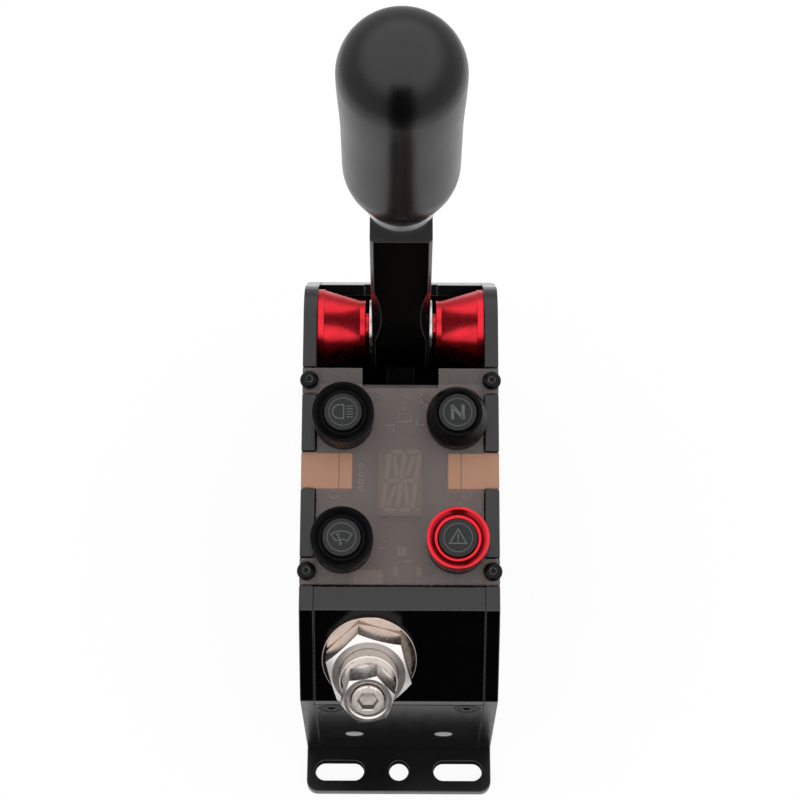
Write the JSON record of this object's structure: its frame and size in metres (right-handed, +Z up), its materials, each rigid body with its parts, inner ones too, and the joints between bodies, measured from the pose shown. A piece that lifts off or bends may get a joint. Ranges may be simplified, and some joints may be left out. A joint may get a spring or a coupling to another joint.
{
  "type": "sim racing gear shifter",
  "caption": "Sequential gear shifter for a racing simulator: plated body with a sprung lever, long round knob, push buttons, gear display and a preload adjuster.",
  "frame": {"origin": "under the middle of the base plate, on the surface that the shifter is bolted to", "axes": "+Z up, +Y away from the driver, +X to the driver's right"},
  "size_m": [0.086, 0.234, 0.3444],
  "materials": {
    "anodised_plate": "black anodised aluminium plate, satin, bright machined edges",
    "gloss_plate": "black anodised bent cover, smooth satin",
    "lever_metal": "black anodised machined aluminium, satin",
    "knob_black": "satin black coated turned aluminium",
    "red_anodised": "red anodised turned aluminium with fine turning lines",
    "button_black": "black anodised turned aluminium",
    "cap_plastic": "matt dark grey plastic with a pale line symbol",
    "smoked_acrylic": "smoked see-through acrylic, polished",
    "guide_acrylic": "diffusing light guide, warm white through the smoked cover",
    "circuit_board": "dark solder mask on glass fibre laminate",
    "display_black": "black display housing with pale unlit segments",
    "nickel": "nickel plated steel, semi bright",
    "steel": "plain ground steel",
    "black_screw": "black oxide steel screws",
    "brass": "plain turned brass",
    "rubber": "black moulded rubber",
    "switch_plastic": "black moulded switch housing"
  },
  "bodies": {
    "body": {"base_plate": "anodised_plate", "side_plate_left": "anodised_plate", "side_plate_right": "anodised_plate", "front_plate": "anodised_plate", "front_cover": "gloss_plate", "front_tie": "anodised_plate", "rear_plate": "anodised_plate", "rear_cover": "anodised_plate", "usb_socket": "nickel", "top_cover": "smoked_acrylic", "control_board": "circuit_board", "board_rails": "anodised_plate", "gear_display": "display_black", "light_guide_left": "guide_acrylic", "light_guide_right": "guide_acrylic", "bezel_bases": "button_black", "bezel_nuts": "brass", "headlight_ring": "button_black", "neutral_ring": "button_black", "wiper_ring": "button_black", "hazard_ring": "red_anodised", "button_switches": "switch_plastic", "top_cover_screws": "black_screw", "front_plate_screws": "black_screw", "side_screws": "black_screw", "base_screws": "black_screw", "board_screws": "steel", "cover_screws": "black_screw", "pivot_shaft": "steel", "pivot_screws": "black_screw", "bearing_cone_left": "red_anodised", "bearing_cone_right": "red_anodised", "adjuster_washer": "nickel", "adjuster_lock_nut": "nickel", "adjuster_sleeve": "nickel", "sleeve_gland": "brass", "upper_spring": "steel", "lower_spring": "steel", "stop_bars": "steel", "bumpers": "rubber", "sensor_bracket": "steel", "sensor_board": "circuit_board", "bracket_screws": "steel"},
    "lever_arm": {"lever": "lever_metal", "knob": "knob_black", "knob_collar": "steel", "knob_stud": "steel", "pivot_bearing_left": "steel", "pivot_bearing_right": "steel", "drive_pin": "steel", "drive_roller": "steel", "sensor_magnet": "nickel"},
    "rod": {"push_rod": "steel"},
    "preload": {"preload_screw": "nickel", "stop_screw": "steel"},
    "headlight_cap": {"headlight_button": "cap_plastic"},
    "neutral_cap": {"neutral_button": "cap_plastic"},
    "wiper_cap": {"wiper_button": "cap_plastic"},
    "hazard_cap": {"hazard_button": "cap_plastic"}
  },
  "joints": [
    {"name": "lever_swing", "type": "hinge", "parent": "body", "child": "lever_arm", "pos_m": [0, 0.0622, 0.11991], "axis": [1, 0, 0], "range_deg": [-6, 6], "stiffness_Nm_per_rad": 60},
    {"name": "rod_slide", "type": "slide", "parent": "body", "child": "rod", "axis": [0, -0.7071, 0.7071], "range_m": [-0.0125, 0.0125], "deforming": ["upper_spring", "lower_spring"]},
    {"name": "preload_turn", "type": "hinge", "parent": "body", "child": "preload", "pos_m": [-0.0126, -0.0824, 0.1001], "axis": [0, -0.7071, 0.7071], "range_deg": [-180, 180]},
    {"name": "headlight_press", "type": "slide", "parent": "body", "child": "headlight_cap", "axis": [0, 0.1736, -0.9848], "range_m": [0, 0.0012], "stiffness_N_per_m": 1500},
    {"name": "neutral_press", "type": "slide", "parent": "body", "child": "neutral_cap", "axis": [0, 0.1736, -0.9848], "range_m": [0, 0.0012], "stiffness_N_per_m": 1500},
    {"name": "wiper_press", "type": "slide", "parent": "body", "child": "wiper_cap", "axis": [0, 0.1736, -0.9848], "range_m": [0, 0.0012], "stiffness_N_per_m": 1500},
    {"name": "hazard_press", "type": "slide", "parent": "body", "child": "hazard_cap", "axis": [0, 0.1736, -0.9848], "range_m": [0, 0.0012], "stiffness_N_per_m": 1500}
  ],
  "couplings": [
    {"joint": "rod_slide", "follows": "lever_swing", "m_per_rad": -0.11625}
  ]
}
